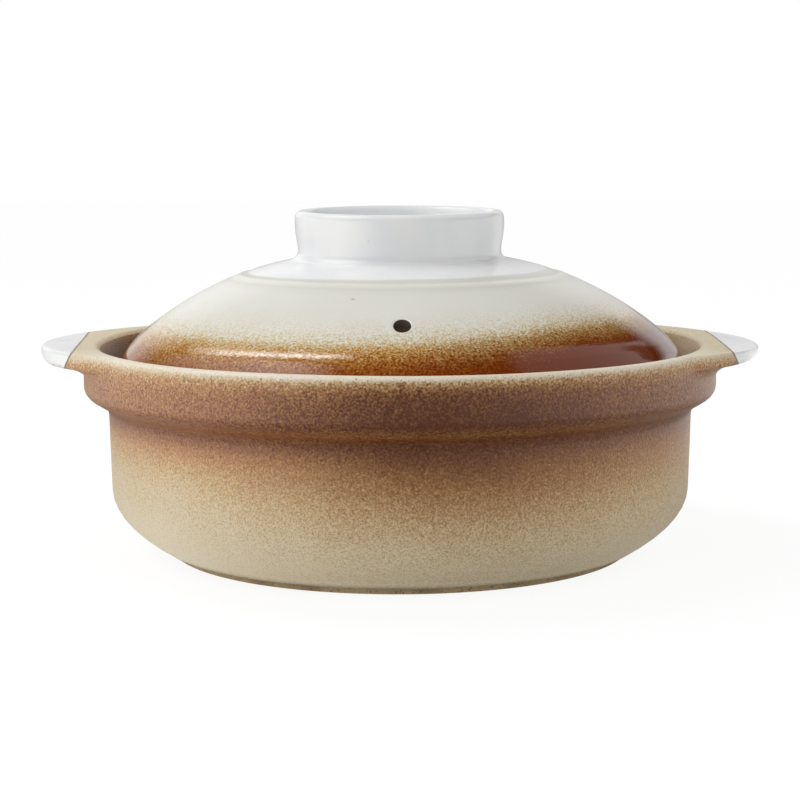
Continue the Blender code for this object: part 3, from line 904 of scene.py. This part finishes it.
# The card leans outwards at its back edge; a dark upright stands before it.
lean = maths(surround, "MULTIPLY_ADD", up, 0.125, turn)
card = steps_of(surround, turn, [(0.735, 0.0), (0.75, 0.50), (0.85, 0.62), (1.0, 0.72)])
card = product(surround, card, fade(surround, up, 0.34, 0.40), fade(surround, up, 0.93, 0.88))
card = product(surround, card, fade(surround, lean, 0.9635, 0.9600))
upright = product(surround, fade(surround, turn, 0.8745, 0.879), fade(surround, lean, 0.9590, 0.9545))
upright = product(surround, upright, fade(surround, up, 0.58, 0.49), 0.85)
card = product(surround, card, maths(surround, "SUBTRACT", 1.0, upright))
brightest = low
for source in (sheet, panel, card, strip):
    brightest = maths(surround, "MAXIMUM", brightest, source)
feed(surround, outlet, {"Light": light, "Mirrored": brightest})

# The sweep looks nearly white to the camera; in the glazes it grows dark near the pot.
floor_mesh = bpy.data.meshes.new("floor")
floor_mesh.from_pydata([(-4, -4, 0), (4, -4, 0), (4, 4, 0), (-4, 4, 0)], [], [(0, 1, 2, 3)])
floor = bpy.data.objects.new("floor", floor_mesh)
bpy.context.scene.collection.objects.link(floor)
floor_finish = bpy.data.materials.new("white_sweep")
floor_finish.use_nodes = True
tree = floor_finish.node_tree
tree.nodes.clear()
rays = add(tree, "LightPath")
nearby = place(tree, surround, {"Direction": coords(tree)})
matt = add(tree, "BsdfDiffuse", {"Color": (0.90, 0.90, 0.90, 1.0)})
bright = add(tree, "Emission", {"Strength": 1.05})
seen = add(tree, "MixShader", {0: 0.86, 1: matt.outputs[0], 2: bright.outputs[0]})
glow = add(tree, "Emission", {"Color": nearby.outputs["Light"]})
lit = add(tree, "MixShader", {0: 0.60, 1: matt.outputs[0], 2: glow.outputs[0]})
away = add(tree, "VectorMath", {0: coords(tree)}, operation="LENGTH").outputs["Value"]
shaded = maths(tree, "MULTIPLY_ADD", fade(tree, away, 0.16, 0.42), 0.75, 0.25)
mirrored = add(tree, "Emission", {"Color": product(tree, nearby.outputs["Mirrored"], shaded)})
camera_ray, glossy_ray = rays.outputs["Is Camera Ray"], rays.outputs["Is Glossy Ray"]
direct = add(tree, "MixShader", {0: camera_ray, 1: lit.outputs[0], 2: seen.outputs[0]})
every = add(tree, "MixShader", {0: glossy_ray, 1: direct.outputs[0], 2: mirrored.outputs[0]})
add(tree, "OutputMaterial", {0: every.outputs[0]})
floor_finish.cycles.emission_sampling = "NONE"
floor_mesh.materials.append(floor_finish)

world = bpy.data.worlds.new("studio")
bpy.context.scene.world = world
world.use_nodes = True
world.cycles.sampling_method = "NONE"
tree = world.node_tree
tree.nodes.clear()
rays = add(tree, "LightPath")
around = place(tree, surround, {"Direction": add(tree, "TexCoord").outputs["Generated"]})
shown = blend_value(tree, rays.outputs["Is Glossy Ray"], around.outputs["Light"], around.outputs["Mirrored"])
seen = maths(tree, "MAXIMUM", rays.outputs["Is Camera Ray"], rays.outputs["Is Transmission Ray"])
backdrop = add(tree, "Background", {"Color": blend_value(tree, seen, shown, 1.0), "Strength": 1.0})
add(tree, "OutputWorld", {0: backdrop.outputs[0]})

# The high softbox faces the lid, its long side turned towards SOFTBOX_ALONG. Places are in metres.
SOFTBOX_PLACE, SOFTBOX_ALONG = Vector((-0.40, 0.16, 0.99)), Vector((-0.31, 0.44, -0.25))
LID_MIDDLE = Vector((0.0, 0.0, 0.09))

softbox = bpy.data.lights.new("softbox_high_left", "AREA")
softbox.shape = "RECTANGLE"
softbox.size, softbox.size_y, softbox.energy = 0.68, 0.20, 3.1
lamp = bpy.data.objects.new("softbox_high_left", softbox)
back = (SOFTBOX_PLACE - LID_MIDDLE).normalized()
side = (SOFTBOX_ALONG - SOFTBOX_ALONG.dot(back) * back).normalized()
facing_lid = Matrix((side, back.cross(side), back)).transposed().to_4x4()
lamp.matrix_world = Matrix.Translation(SOFTBOX_PLACE) @ facing_lid
lamp.visible_camera = False
lamp.visible_glossy = False
bpy.context.scene.collection.objects.link(lamp)

# The camera looks at the front from a little above: its place in metres, its angles in radians and
# its focal length in pixels of the square picture.
CAMERA_PLACE = (0.0, -0.85, 0.1741)
CAMERA_DOWN, CAMERA_ROLL = 0.1322, -0.003
FOCAL_PIXELS, PICTURE_PIXELS = 2057, 800

camera_lens = bpy.data.cameras.new("camera")
camera_lens.sensor_width = 36.0
camera_lens.lens = camera_lens.sensor_width * FOCAL_PIXELS / PICTURE_PIXELS
camera = bpy.data.objects.new("camera", camera_lens)
looking = Matrix.Rotation(math.pi / 2 - CAMERA_DOWN, 4, "X") @ Matrix.Rotation(CAMERA_ROLL, 4, "Z")
camera.matrix_world = Matrix.Translation(CAMERA_PLACE) @ looking
bpy.context.scene.collection.objects.link(camera)
bpy.context.scene.camera = camera
bpy.context.scene.view_settings.view_transform = "Standard"
